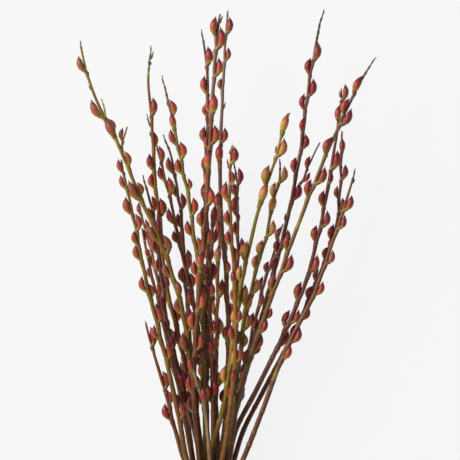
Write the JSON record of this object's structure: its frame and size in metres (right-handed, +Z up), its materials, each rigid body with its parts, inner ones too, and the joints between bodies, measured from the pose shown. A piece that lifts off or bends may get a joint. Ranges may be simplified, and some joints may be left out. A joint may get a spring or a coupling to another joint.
{
  "type": "willow branch bunch",
  "caption": "Gathered bunch of cut red-bud willow branches fanning out from a twine tie, with pointed winter buds up slim bark-covered stems, lying on a surface.",
  "frame": {"origin": "on the surface that the bunch lies on, under the middle of the tie: the centre of the tie's flat underside", "axes": "+Y along the bunch from the tie to the tips, +Z up from the surface, +X to the right seen from above"},
  "size_m": [0.2971, 0.6046, 0.0943],
  "materials": {
    "bark_olive": "satin, finely streaked olive-brown bark",
    "bark_golden": "satin golden-brown bark",
    "bark_green": "satin olive-green bark",
    "bark_brown": "satin brown bark",
    "bark_grey": "satin grey-brown bark",
    "bark_maroon": "satin maroon-brown bark",
    "bark_tan": "satin tan bark",
    "bud_red": "smooth, lightly glossy red bud scale",
    "bud_amber": "smooth, lightly glossy amber bud scale",
    "dry_tip": "dull, dry, dark grey-brown twig tip",
    "cut_wood": "dull, pale cut wood",
    "twine": "rough two-ply natural twine"
  },
  "bodies": {
    "root": {"branch_left_mid_grey": "bark_grey", "branch_centre_yellow": "bark_golden", "branch_right_slim": "bark_maroon", "branch_left_cluster": "bark_grey", "branch_left_second": "bark_golden", "branch_left_mid_brown": "bark_brown", "branch_right_dark": "bark_maroon", "branch_left_red": "bark_maroon", "branch_centre_left": "bark_maroon", "branch_centre_right_tall": "bark_grey", "branch_right_tall": "bark_maroon", "branch_right_outer_brown": "bark_maroon", "branch_left_thin": "bark_brown", "branch_left_tall": "bark_olive", "branch_left_mid_green": "bark_green", "branch_centre_dark": "bark_maroon", "branch_right_green": "bark_green", "branch_right_red": "bark_brown", "branch_left_low": "bark_brown", "branch_centre_tall": "bark_brown", "branch_yellow_tall": "bark_olive", "branch_right_olive": "bark_olive", "branch_right_low": "bark_brown", "branch_left_outer": "bark_olive", "branch_front_tan": "bark_tan", "branch_right_brown": "bark_golden", "twine_tie": "twine"}
  },
  "joints": []
}
